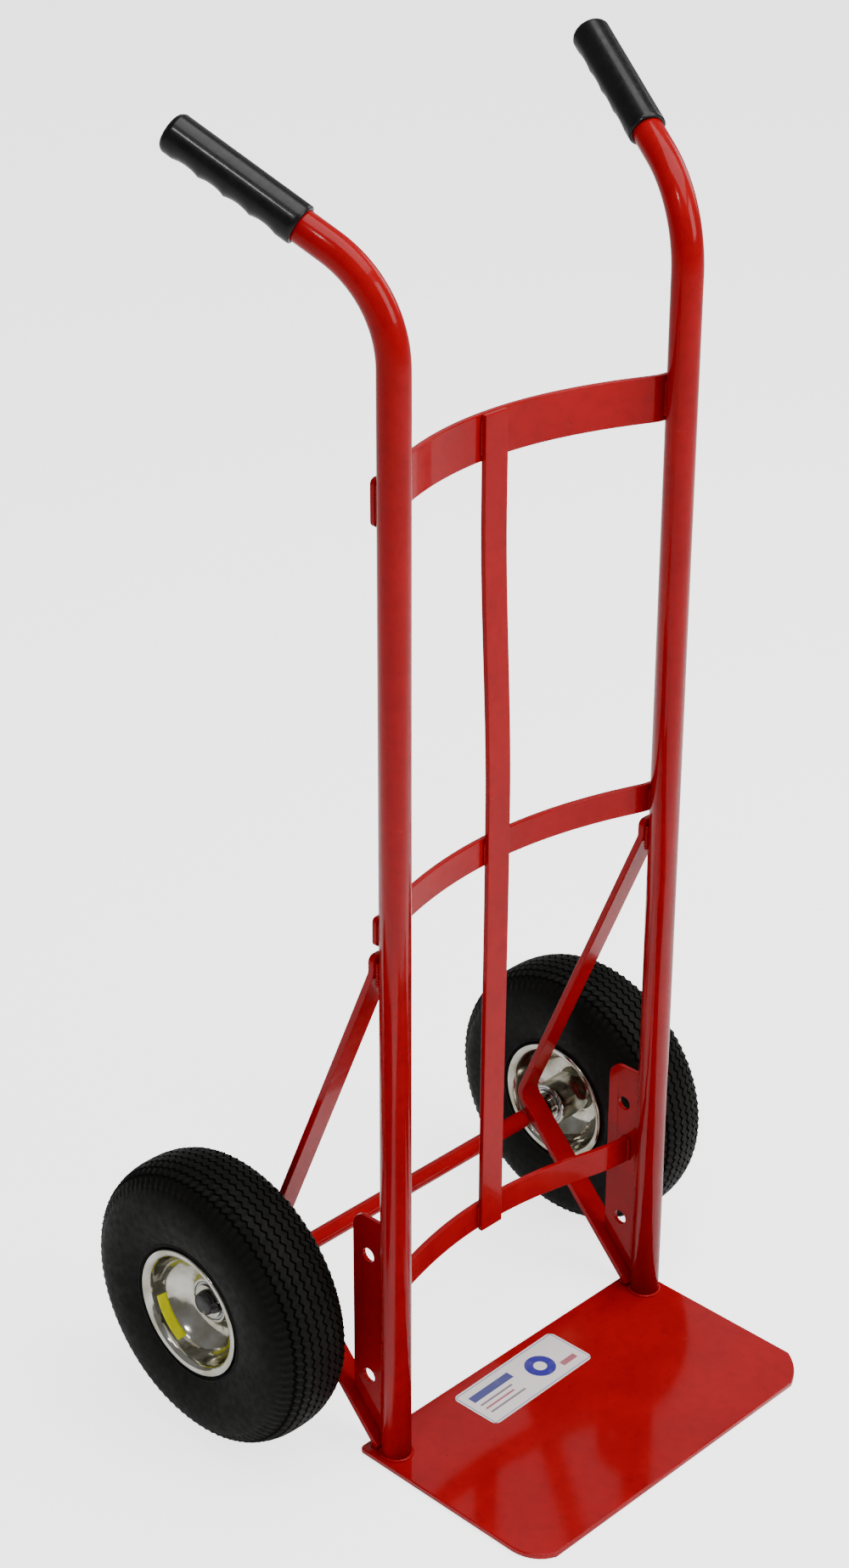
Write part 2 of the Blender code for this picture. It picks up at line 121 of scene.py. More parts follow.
# %% [markdown]
# The truck stands on a pale floor under a wide soft light. A smaller and stronger light from the left
# draws the thin bright lines along the tubes. The room and the floor light the truck only dimly,
# because bright surroundings mirrored in gloss paint would lay a pale haze over the red, but both are
# near white where they are seen directly.

# %% Floor and lights
def srgb(code):
    """A hex colour, as a painter would pick it, turned to the linear values that shaders work in."""
    parts = [int(code[i:i + 2], 16) / 255 for i in (1, 3, 5)]
    return [p / 12.92 if p <= 0.04045 else ((p + 0.055) / 1.055) ** 2.4 for p in parts] + [1.0]


def add_node(tree, kind, inputs=(), **settings):
    """Adds one node. Inputs are pairs of a socket and a value, or a socket to link to it."""
    made = tree.nodes.new(kind)
    for name, value in settings.items():
        setattr(made, name, value)
    for socket, value in inputs:
        if isinstance(value, bpy.types.NodeSocket):
            tree.links.new(value, made.inputs[socket])
        else:
            made.inputs[socket].default_value = value
    return made


def soft_light(name, place, aim, size, power):
    lamp = bpy.data.lights.new(name, "AREA")
    lamp.size = size
    lamp.energy = power
    made = bpy.data.objects.new(name, lamp)
    bpy.context.scene.collection.objects.link(made)
    made.location = place
    made.rotation_euler = (Vector(aim) - Vector(place)).to_track_quat("-Z", "Y").to_euler()
    return made


def glow(tree, lit, seen):
    """A strength of one value for the light that falls on the truck, and another where it is seen."""
    direct = add_node(tree, "ShaderNodeLightPath").outputs["Is Camera Ray"]
    made = add_node(tree, "ShaderNodeMapRange", [("Value", direct), ("To Min", lit), ("To Max", seen)])
    return made.outputs["Result"]


room = bpy.data.worlds.new("room")
room.use_nodes = True
wall = room.node_tree.nodes["Background"]
wall.inputs["Color"].default_value = srgb("#FFFFFF")
room.node_tree.links.new(glow(room.node_tree, 0.28, 3.0), wall.inputs["Strength"])
bpy.context.scene.world = room
soft_light("overhead", (0.3, -0.7, 3.2), (0, 0, 0.4), 2.4, 85)
soft_light("left", (-2.0, -0.9, 3.0), (0, 0, 0.9), 0.3, 14)
soft_light("front", (0.9, -3.0, 2.4), (0, 0, 0.5), 1.6, 58)
soft_light("right", (2.6, -0.2, 1.8), (0, 0, 0.5), 1.2, 14)
soft_light("behind", (2.2, 1.9, 2.35), (0, -0.1, 0), 1.3, 2.6)

FLOOR_REACH = 8
floor_shape = bmesh.new()
bmesh.ops.create_grid(floor_shape, x_segments=1, y_segments=1, size=FLOOR_REACH)
floor_mesh = bpy.data.meshes.new("floor")
floor_shape.to_mesh(floor_mesh)
floor_shape.free()
floor = bpy.data.objects.new("floor", floor_mesh)
floor.location.z = -0.2 * MM
paper = bpy.data.materials.new("white_paper_floor")
paper.use_nodes = True
surface = paper.node_tree.nodes["Principled BSDF"]
surface.inputs["Base Color"].default_value = srgb("#F4F4F3")
surface.inputs["Roughness"].default_value = 0.8
surface.inputs["Emission Color"].default_value = srgb("#FFFFFF")
paper.node_tree.links.new(glow(paper.node_tree, 0.35, 2.4), surface.inputs["Emission Strength"])
floor_mesh.materials.append(paper)
bpy.context.scene.collection.objects.link(floor)
print("floor and", len(bpy.data.lights), "lights")

# %% [markdown]
# ## Materials
# Every finish starts from a Principled shader and reads Object coordinates, which are metres here, so
# a pattern's scale follows from a real size. The helper below makes a noise pattern whose features are
# a given number of millimetres across.

# %% Material helpers
def finish(name, **values):
    """A new material with its shader's own sockets set, and its Object coordinates."""
    made = bpy.data.materials.new(name)
    made.use_nodes = True
    tree = made.node_tree
    shader = tree.nodes["Principled BSDF"]
    for socket, value in values.items():
        shader.inputs[socket.replace("_", " ")].default_value = value
    place = add_node(tree, "ShaderNodeTexCoord").outputs["Object"]
    return made, tree, shader, place


def grain(tree, place, size_mm, detail=2.0, roughness=0.5):
    """Noise from 0 to 1, with features of about that size."""
    made = add_node(
        tree, "ShaderNodeTexNoise",
        [
            ("Vector", place), ("Scale", 1 / (size_mm * MM)),
            ("Detail", detail), ("Roughness", roughness),
        ],
    )
    return made.outputs["Fac"]


def spread(tree, value, low, high, to_low=0.0, to_high=1.0):
    """The part of a value between low and high, stretched to a new range and clamped."""
    made = add_node(
        tree, "ShaderNodeMapRange",
        [
            ("Value", value), ("From Min", low), ("From Max", high),
            ("To Min", to_low), ("To Max", to_high),
        ],
    )
    return made.outputs["Result"]


def blend_colours(tree, amount, first, second):
    """first where the amount is 0 and second where it is 1."""
    made = add_node(tree, "ShaderNodeMix", [("Factor", amount)], data_type="RGBA")
    for socket, value in ((6, first), (7, second)):
        if isinstance(value, bpy.types.NodeSocket):
            tree.links.new(value, made.inputs[socket])
        else:
            made.inputs[socket].default_value = value
    return made.outputs[2]


def relief(tree, shader, height, depth_mm, strength):
    """Bumps the surface by a height from 0 to 1, as deep as depth_mm."""
    made = add_node(
        tree, "ShaderNodeBump",
        [("Height", height), ("Distance", depth_mm * MM), ("Strength", strength)],
    )
    tree.links.new(made.outputs["Normal"], shader.inputs["Normal"])


print("material helpers ready")

# %% [markdown]
# The frame is steel sprayed with gloss enamel. Sprayed paint is never flat: it has orange peel, soft
# waves a few millimetres across that break up the edges of highlights, and its depth of colour drifts
# slowly. A clear coat over the base gives the sharp top highlight of enamel. Handling leaves faint dull
# patches, and a few pin-sized chips show dark steel. The toe plate is flat rolled sheet, so its peel is
# wider and its coat thicker, and the frame is mirrored in it.

# %% Red enamel
RED = "#960009"
RED_LIGHT = "#A2000B"
RED_DEEP = "#760006"


def enamel(name, peel_mm, chips, gloss, haze):
    made, tree, shader, place = finish(
        name, IOR=1.5, Specular_IOR_Level=0.08, Coat_Weight=gloss, Coat_Roughness=haze,
    )
    drift = spread(tree, grain(tree, place, 70, 3.0), 0.35, 0.65)
    colour = blend_colours(tree, drift, srgb(RED), srgb(RED_LIGHT))
    fine = spread(tree, grain(tree, place, 9, 4.0), 0.45, 0.8, 0.0, 0.35)
    colour = blend_colours(tree, fine, colour, srgb(RED_DEEP))
    specks = spread(tree, grain(tree, place, 2.2, 1.0), chips, chips + 0.015)
    colour = blend_colours(tree, specks, colour, srgb("#2A1A18"))
    tree.links.new(colour, shader.inputs["Base Color"])
    dull = spread(tree, grain(tree, place, 35, 4.0, 0.65), 0.4, 0.75, 0.16, 0.3)
    tree.links.new(dull, shader.inputs["Roughness"])
    relief(tree, shader, grain(tree, place, peel_mm, 1.5), 0.06, 0.6)
    return made


red_enamel = enamel("gloss_enamel_on_steel", 4.0, 0.80, 0.16, 0.03)
plate_enamel = enamel("gloss_enamel_on_toe_plate", 14.0, 0.77, 0.4, 0.1)
print("enamel", red_enamel.name, plate_enamel.name)

# %% [markdown]
# The grips are dipped vinyl: soft, black and shiny, with a slightly pebbled skin. The tyres are
# moulded rubber, duller than vinyl, with a faint brown and blue cast, and road dust in the tread. Dust
# lies where the rubber is furthest from the axle, so its pattern is the distance from the axle's line.

# %% Vinyl and rubber
def grip_vinyl():
    made, tree, shader, place = finish(
        "dipped_vinyl", IOR=1.52, Specular_IOR_Level=0.2, Coat_Weight=0.12, Coat_Roughness=0.06,
    )
    tone = spread(tree, grain(tree, place, 12, 3.0), 0.35, 0.7)
    tree.links.new(blend_colours(tree, tone, srgb("#060606"), srgb("#0C0C0C")), shader.inputs["Base Color"])
    dull = spread(tree, grain(tree, place, 5, 3.0), 0.3, 0.7, 0.24, 0.4)
    tree.links.new(dull, shader.inputs["Roughness"])
    relief(tree, shader, grain(tree, place, 1.6, 2.0), 0.12, 0.5)
    return made


def moulded_rubber(name, dark, warm, dust_from=None):
    made, tree, shader, place = finish(name, IOR=1.5, Specular_IOR_Level=0.1)
    cast = spread(tree, grain(tree, place, 45, 2.0), 0.35, 0.65)
    colour = blend_colours(tree, cast, srgb(dark), srgb(warm))
    if dust_from is not None:
        axis_free = add_node(
            tree, "ShaderNodeVectorMath",
            [(0, place), (1, (0, AXLE.y, AXLE.z))], operation="SUBTRACT",
        )
        flat = add_node(
            tree, "ShaderNodeVectorMath",
            [(0, axis_free.outputs["Vector"]), (1, (0, 1, 1))], operation="MULTIPLY",
        )
        reach = add_node(tree, "ShaderNodeVectorMath", [(0, flat.outputs["Vector"])], operation="LENGTH")
        outer = spread(tree, reach.outputs["Value"], dust_from, dust_from + 6 * MM, 0.0, 0.5)
        patchy = spread(tree, grain(tree, place, 8, 5.0, 0.7), 0.4, 0.75)
        dusty = add_node(tree, "ShaderNodeMath", [(0, outer), (1, patchy)], operation="MULTIPLY")
        colour = blend_colours(tree, dusty.outputs["Value"], colour, srgb("#1C1B19"))
    tree.links.new(colour, shader.inputs["Base Color"])
    dull = spread(tree, grain(tree, place, 6, 4.0), 0.3, 0.75, 0.5, 0.7)
    tree.links.new(dull, shader.inputs["Roughness"])
    relief(tree, shader, grain(tree, place, 1.2, 3.0), 0.1, 0.5)
    return made


vinyl = grip_vinyl()
tyre_rubber = moulded_rubber("moulded_tyre_rubber", "#060605", "#0A0A07", AXLE.z - 8 * MM)
tube_rubber = moulded_rubber("butyl_tube_rubber", "#101010", "#161616")
print("rubber", tyre_rubber.name, tube_rubber.name)

# %% [markdown]
# The rims are pressed steel with bright zinc plate. Plating follows the pressed metal's slow waves, so
# reflections wobble, and it carries a faint yellow and green stain. Steel that is turned, such as a
# bearing's rings, shows fine circular tool marks instead.

# %% Zinc plate and turned steel
def zinc_plate():
    made, tree, shader, place = finish("bright_zinc_plate", Metallic=1.0)
    stain = spread(tree, grain(tree, place, 22, 3.0), 0.35, 0.7)
    colour = blend_colours(tree, stain, srgb("#C4C2BB"), srgb("#98947F"))
    tree.links.new(colour, shader.inputs["Base Color"])
    haze = spread(tree, grain(tree, place, 7, 4.0, 0.65), 0.35, 0.75, 0.06, 0.22)
    tree.links.new(haze, shader.inputs["Roughness"])
    relief(tree, shader, grain(tree, place, 9, 1.0), 0.35, 0.6)
    return made


def turned_steel():
    made, tree, shader, place = finish("turned_steel", Metallic=1.0)
    centred = add_node(
        tree, "ShaderNodeMapping", [("Vector", place), ("Location", (0, -AXLE.y, -AXLE.z))],
    )
    rings = add_node(
        tree, "ShaderNodeTexWave",
        [("Vector", centred.outputs["Vector"]), ("Scale", 1 / (6 * MM)), ("Distortion", 0.5)],
        wave_type="RINGS", rings_direction="X",
    )
    tone = blend_colours(tree, rings.outputs["Fac"], srgb("#8E8F92"), srgb("#A9AAAD"))
    tree.links.new(tone, shader.inputs["Base Color"])
    dull = spread(tree, grain(tree, place, 3, 3.0), 0.3, 0.7, 0.22, 0.38)
    tree.links.new(dull, shader.inputs["Roughness"])
    relief(tree, shader, rings.outputs["Fac"], 0.03, 0.5)
    return made


zinc = zinc_plate()
bearing_steel = turned_steel()
print("metals", zinc.name, bearing_steel.name)

# %% [markdown]
# The small caps are moulded nylon, matt with a spark-eroded texture. The wheel's sticker is plain
# yellow vinyl, slightly faded and scuffed.

# %% Nylon and yellow vinyl
def moulded_nylon():
    made, tree, shader, place = finish("moulded_nylon", IOR=1.53)
    tone = spread(tree, grain(tree, place, 4, 3.0), 0.3, 0.7)
    tree.links.new(blend_colours(tree, tone, srgb("#101011"), srgb("#1C1C1D")), shader.inputs["Base Color"])
    tree.links.new(spread(tree, tone, 0.0, 1.0, 0.35, 0.5), shader.inputs["Roughness"])
    relief(tree, shader, grain(tree, place, 0.8, 2.0), 0.08, 0.6)
    return made


def yellow_vinyl():
    made, tree, shader, place = finish("yellow_sticker_vinyl", IOR=1.5, Specular_IOR_Level=0.2)
    fade = spread(tree, grain(tree, place, 6, 4.0), 0.35, 0.75)
    tree.links.new(blend_colours(tree, fade, srgb("#FFFF08"), srgb("#F4F000")), shader.inputs["Base Color"])
    tree.links.new(spread(tree, fade, 0.0, 1.0, 0.35, 0.5), shader.inputs["Roughness"])
    relief(tree, shader, grain(tree, place, 3, 2.0), 0.05, 0.5)
    return made


nylon = moulded_nylon()
yellow = yellow_vinyl()
print("plastics", nylon.name, yellow.name)

# %% [markdown]
# ## Modelling helpers
# Most of the truck is one of three things: a shape turned about a line, a bar or tube swept along a
# path, or a flat plate with rounded corners. The helpers below close a mesh, turn its faces outwards,
# shade it and let it ride on a body.

# %% Helpers that finish a piece
def settle(work, name, material, body="frame", stands_for=(), sharp=35):
    """The finished bmesh becomes a piece that rides on a body and stands for CAD nodes."""
    bmesh.ops.remove_doubles(work, verts=work.verts, dist=WELD_DIST)
    bmesh.ops.recalc_face_normals(work, faces=work.faces)
    mesh = bpy.data.meshes.new(name)
    work.to_mesh(mesh)
    work.free()
    mesh.shade_smooth()
    mesh.set_sharp_from_angle(angle=math.radians(sharp))
    mesh.materials.append(material)
    piece = bpy.data.objects.new(name, mesh)
    bpy.context.scene.collection.objects.link(piece)
    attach(piece, body)
    if stands_for:
        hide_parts(*stands_for)
    return piece


def eased(piece, width_mm, segments=3):
    """Rounds the piece's sharp edges with a live Bevel modifier."""
    made = piece.modifiers.new("eased_edges", "BEVEL")
    made.width = width_mm * MM
    made.segments = segments
    made.limit_method = "ANGLE"
    made.angle_limit = math.radians(40)
    made.harden_normals = True
    return piece


def thickened(piece, thickness, offset=0.0):
    """Gives a sheet its thickness with a live Solidify modifier."""
    made = piece.modifiers.new("sheet_thickness", "SOLIDIFY")
    made.thickness = thickness
    made.offset = offset
    made.use_even_offset = True
    return piece


def push_edges(work, edges, step):
    """Extrudes a row or loop of edges by a step, and gives the new edges."""
    made = bmesh.ops.extrude_edge_only(work, edges=edges)["geom"]
    verts = [g for g in made if isinstance(g, bmesh.types.BMVert)]
    bmesh.ops.translate(work, verts=verts, vec=step)
    fresh = set(verts)
    return [
        g for g in made
        if isinstance(g, bmesh.types.BMEdge) and g.verts[0] in fresh and g.verts[1] in fresh
    ]


def smooth_line(points, per_span=6):
    """A Catmull-Rom curve through a few points, so that a short list gives a round section."""
    padded = [points[0]] + list(points) + [points[-1]]
    made = []
    for p0, p1, p2, p3 in zip(padded, padded[1:], padded[2:], padded[3:]):
        for i in range(per_span):
            t = i / per_span
            made.append(tuple(
                0.5 * (2 * b + (c - a) * t + (2 * a - 5 * b + 4 * c - d) * t * t
                       + (3 * b - a - 3 * c + d) * t ** 3)
                for a, b, c, d in zip(p0, p1, p2, p3)
            ))
    made.append(tuple(points[-1]))
    return made


def spin_section(section, steps, closed, side=1):
    """Turns (distance out, radius) points about X. A closed section makes a ring."""
    work = bmesh.new()
    verts = [work.verts.new((side * u, 0, -r)) for u, r in section]
    edges = [work.edges.new(pair) for pair in zip(verts, verts[1:])]
    if closed:
        edges.append(work.edges.new((verts[-1], verts[0])))
    bmesh.ops.spin(
        work, geom=verts + edges, cent=(0, 0, 0), axis=(1, 0, 0), dvec=(0, 0, 0),
        angle=2 * math.pi, steps=steps, use_merge=True,
    )
    bmesh.ops.remove_doubles(work, verts=work.verts, dist=WELD_DIST)
    return work


def moved(work, shift):
    bmesh.ops.translate(work, verts=work.verts, vec=shift)
    return work


print("modelling helpers ready")

# %% [markdown]
# ## Rails
# Each rail is one length of 25.4 mm tube, bent in a tube bender: straight up from the toe plate, 60
# degrees back through a 96 mm bend, then straight again as a handle. The bend's plane is turned 21
# degrees outwards. A circle is extruded, spun about the bender's centre and extruded again, just as
# the machine does it, and Solidify gives the 2 mm wall.

# %% Rails
def bend_plane(side):
    """The direction in which the handle leans, and the axis about which the tube is bent."""
    lean = Vector((side * math.sin(SPLAY), math.cos(SPLAY), 0))
    return lean, Vector((0, 0, 1)).cross(lean)


def handle_start(side):
    """Where the straight handle begins, and its direction."""
    lean, _ = bend_plane(side)
    rise = Vector((0, 0, 1))
    foot = Vector((side * RAIL_X, RAIL_Y, BEND_Z))
    place = foot + rise * BEND_R * math.sin(BEND_ANGLE) + lean * BEND_R * (1 - math.cos(BEND_ANGLE))
    return place, lean * math.sin(BEND_ANGLE) + rise * math.cos(BEND_ANGLE)


def make_rail(word):
    side = MIRROR[word]
    lean, bend_axis = bend_plane(side)
    work = bmesh.new()
    bmesh.ops.create_circle(work, segments=48, radius=RAIL_R)
    foot = Vector((side * RAIL_X, RAIL_Y, PLATE_TOP + CONTACT))
    moved(work, foot)
    ring = push_edges(work, list(work.edges), (0, 0, BEND_Z - foot.z))
    ring_verts = list({v for e in ring for v in e.verts})
    bent = bmesh.ops.spin(
        work, geom=ring_verts + ring, cent=Vector((foot.x, foot.y, BEND_Z)) + lean * BEND_R,
        axis=bend_axis, dvec=(0, 0, 0), angle=BEND_ANGLE, steps=28, use_merge=False,
    )
    last = [g for g in bent["geom_last"] if isinstance(g, bmesh.types.BMEdge)]
    _, along = handle_start(side)
    push_edges(work, last, along * HANDLE_LENGTH)
    piece = settle(work, "tube_rail_" + word, red_enamel, "frame", ["rail_" + word], 60)
    return thickened(piece, RAIL_WALL, -1.0)


for word in MIRROR:
    print(make_rail(word).name, "made")

# %% [markdown]
# ## Grips
# A grip is dipped vinyl with a closed, slightly domed end, a plain collar at each end and four shallow
# finger hollows underneath. It is turned as a plain sleeve with its bore, and then the points that face
# down are eased in along a row of round arches, one to a finger, which leaves the top smooth.

# %% Grips
GRIP_START = 25 * MM
GRIP_LENGTH = 114 * MM
GRIP_R = 15 * MM
FINGER_DEPTH = 2.2 * MM
FINGERS = 4
COLLAR = 12 * MM


def make_grip(word):
    side = MIRROR[word]
    bore = RAIL_R + CONTACT
    depth = HANDLE_LENGTH - GRIP_START + CONTACT
    long_run = [(GRIP_LENGTH * i / 60, GRIP_R + 0.5 * MM) for i in range(2, 59)]
    section = (
        [(depth, 0.0), (depth, bore), (0.0, bore), (0.0, GRIP_R - 0.3 * MM), (0.6 * MM, GRIP_R + 0.4 * MM)]
        + long_run
        + smooth_line([
            (GRIP_LENGTH - 3 * MM, GRIP_R + 0.5 * MM), (GRIP_LENGTH, GRIP_R - 1.2 * MM),
            (GRIP_LENGTH + 1.6 * MM, GRIP_R - 5 * MM), (GRIP_LENGTH + 2 * MM, 0.0),
        ], 4)
    )
    work = spin_section(section, 56, False)
    hollows = GRIP_LENGTH - 2 * COLLAR
    for v in work.verts:
        reach = math.hypot(v.co.y, v.co.z)
        if reach < bore + 0.5 * MM or not COLLAR < v.co.x < COLLAR + hollows:
            continue
        under = max(0.0, -v.co.z / reach) ** 1.5
        wave = abs(math.sin(math.pi * FINGERS * (v.co.x - COLLAR) / hollows)) ** 0.8
        shrink = (reach - FINGER_DEPTH * under * wave) / reach
        v.co.y *= shrink
        v.co.z *= shrink
    start, along = handle_start(side)
    under_side = (Vector((0, 0, 1)) - along * along.z).normalized()
    turn = Matrix((along, under_side.cross(along), under_side)).transposed()
    bmesh.ops.transform(work, matrix=turn.to_4x4(), verts=work.verts)
    moved(work, start + along * GRIP_START)
    return settle(work, "vinyl_grip_" + word, vinyl, "frame", ["grip_" + word], 50)


for word in MIRROR:
    print(make_grip(word).name, "made")

# %% [markdown]
# ## Straps
# The straps are flat bar, 4.8 mm thick, rolled to a bow that a drum can lie in. Bar stock has slightly
# rounded edges. A single edge as wide as the bar is extruded along the bow, then Solidify and Bevel
# make the bar of it. The bow is a parabola that turns into a flat where the bar lies on the rails.

# %% Straps
STRAP_T = 4.8 * MM
BAR_EDGE_MM = 0.9


def sweep_bar(name, path, across_bar, thickness, stands_for, corner=0.0, both=True):
    """A flat bar along a path of points, as wide as the vector across it.

    Its corners are rounded by the radius called corner, at its start or at both of its ends.
    """
    work = bmesh.new()
    wide = Vector(across_bar)
    pair = [work.verts.new(Vector(path[0]) + wide * s) for s in (-0.5, 0.5)]
    row = [work.edges.new(pair)]
    for here, there in zip(path, path[1:]):
        row = push_edges(work, row, Vector(there) - Vector(here))
    if corner:
        ends = pair + (list(row[0].verts) if both else [])
        bmesh.ops.bevel(
            work, geom=ends, offset=corner, offset_type="OFFSET", segments=6, profile=0.5,
            affect="VERTICES", material=-1, clamp_overlap=False,
        )
    piece = settle(work, name, red_enamel, "frame", stands_for)
    thickened(piece, thickness)
    return eased(piece, BAR_EDGE_MM)


def bow_path(depth, bow, seat, blend, reach, z):
    """Middle of a bowed strap: its front face is depth behind the rails' plane, flat at the seat."""
    path = []
    for i in range(65):
        x = reach * (i / 32 - 1)
        front = seat + blend * math.log1p(math.exp((depth - bow * x * x - seat) / blend))
        path.append((x, RAIL_Y + front + STRAP_T / 2, z))
    return path


for strap, depth, bow, seat, blend, corner in (
    ("top_strap", 53.4 * MM, 1.756, RAIL_R + CONTACT, 1.5 * MM, 5 * MM),
    ("middle_strap", 45.1 * MM, 1.314, RAIL_R + CONTACT, 1.5 * MM, 4 * MM),
    ("lower_strap", 47.0 * MM, 1.357, 22.5 * MM, 4.0 * MM, 0.0),
):
    low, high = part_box(strap)
    path = bow_path(depth, bow, seat, blend, high.x, (low.z + high.z) / 2)
    made = sweep_bar("flat_bar_" + strap, path, (0, 0, high.z - low.z), STRAP_T, [strap], corner)
    print(made.name, f"{(high.z - low.z) / MM:.1f} mm wide")

# %% [markdown]
# The upright strap lies in front of the three bows. It is straight at the bottom, and above the middle
# bow it leans back to reach the deeper top bow, along a smooth S.

# %% Upright strap
def upright_rear(z):
    """How far the upright strap's rear face is behind the rails' plane."""
    def ease(t):
        t = min(max(t, 0.0), 1.0)
        return t * t * (3 - 2 * t)

    straight = 46.5 * MM - 2.0 * MM * ease((z - 160 * MM) / (327 * MM))
    return straight + 8.3 * MM * ease((z - 540 * MM) / (250 * MM))


low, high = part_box("centre_strap")
path = []
for i in range(61):
    z = low.z + (high.z - low.z) * i / 60
    path.append((0, RAIL_Y + upright_rear(z) - STRAP_T / 2, z))
made = sweep_bar("flat_bar_centre_strap", path, (high.x - low.x, 0, 0), STRAP_T, ["centre_strap"])
print(made.name, f"{(high.z - low.z) / MM:.0f} mm long")

# %% [markdown]
# ## Braces
# Each brace is one 22 by 6 mm bar, bent tight over the axle: it starts on the back of the rail with a
# rounded end, runs down and back, turns, and runs forward to the toe plate. The corners of its path
# are arcs, since cold-bent bar never has a sharp corner.

# %% Braces
BAR_T = 6 * MM
BAR_W = 22 * MM


def rounded_path(points, radii, steps=8):
    """A flat path of (y, z) points whose inner corners are arcs."""
    path = [Vector(points[0])]
    for i, radius in enumerate(radii, 1):
        here = Vector(points[i])
        before = (Vector(points[i - 1]) - here).normalized()
        after = (Vector(points[i + 1]) - here).normalized()
        half = before.angle(after) / 2
        centre = here + (before + after).normalized() * radius / math.sin(half)
        start = here + before * radius / math.tan(half) - centre
        turn = (math.pi - 2 * half) * (1 if before.cross(after) < 0 else -1)
        for k in range(steps + 1):
            path.append(centre + Matrix.Rotation(turn * k / steps, 2) @ start)
    path.append(Vector(points[-1]))
    return path


def brace_corners():
    """The ends and bends of a brace, as points of (distance behind the rails' plane, height)."""
    on_rail = RAIL_R + CONTACT + BAR_T / 2
    return [
        (on_rail, 480 * MM), (on_rail, 464.3 * MM), (147.8 * MM, 150.6 * MM),
        (12.8 * MM, PLATE_TOP + CONTACT + 2.6 * MM),
    ]


for word, side in MIRROR.items():
    flat = rounded_path(brace_corners(), (14 * MM, 15 * MM))
    path = [(side * RAIL_X, RAIL_Y + p.x, p.y) for p in flat]
    made = sweep_bar(
        "flat_bar_brace_" + word, path, (BAR_W, 0, 0), BAR_T, ["brace_" + word], 6 * MM, False,
    )
    print(made.name, len(path), "stations")

# %% [markdown]
# ## Brackets and toe plate
# The drilled brackets are cut from 4 mm plate and the toe plate is sheared from 5 mm plate, with its
# front corners cut off. Both keep their CAD outline: a copy of the CAD mesh is merged, its flat
# triangles are dissolved into whole faces, and its edges are eased. The toe plate's edges are eased
# more, as sheared edges are dressed so that they slide under a load.

# %% Brackets
def eased_copy(node, name, material, edge_mm):
    """A CAD shape, with its triangles merged and its edges rounded."""
    work = bmesh.new()
    work.from_mesh(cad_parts[node].data)
    bmesh.ops.remove_doubles(work, verts=work.verts, dist=0.01 * MM)
    bmesh.ops.dissolve_limit(work, angle_limit=math.radians(1), verts=work.verts, edges=work.edges)
    return eased(settle(work, name, material, "frame", [node]), edge_mm, 2)


for word in MIRROR:
    made = eased_copy("bracket_" + word, "drilled_bracket_" + word, red_enamel, 0.5)
    print(made.name, len(made.data.polygons), "faces")

# %% Toe plate
toe_plate = eased_copy("toe_plate", "toe_plate_sheet", plate_enamel, 1.1)
low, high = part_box("toe_plate")
print(toe_plate.name, f"{(high.x - low.x) / MM:.0f} by {(high.y - low.y) / MM:.0f} mm")

# %% [markdown]
# ## Plate sticker
# A printed vinyl sticker lies near the back of the toe plate. Its print is a plain design of its own: a
# white field with a thin blue border, a blue ring and a few plain bars. Each shape is drawn from the
# distance to its edge, in millimetres from the sticker's middle.

# %% Sticker print
STICKER = middle("plate_label")
STICKER_TURN = math.radians(1.2)
STICKER_SIZE = (128 * MM, 50 * MM)
STICKER_CORNER = 6 * MM
STICKER_T = 0.4 * MM


def maths(tree, operation, first, second=0.0):
    """One step of arithmetic between values or sockets."""
    return add_node(tree, "ShaderNodeMath", [(0, first), (1, second)], operation=operation).outputs[0]


def inside_box(tree, x, y, centre, half):
    """1 inside a rectangle and 0 outside it."""
    made = []
    for value, at, reach in ((x, centre[0], half[0]), (y, centre[1], half[1])):
        away = maths(tree, "ABSOLUTE", maths(tree, "SUBTRACT", value, at * MM))
        made.append(maths(tree, "LESS_THAN", away, reach * MM))
    return maths(tree, "MULTIPLY", made[0], made[1])


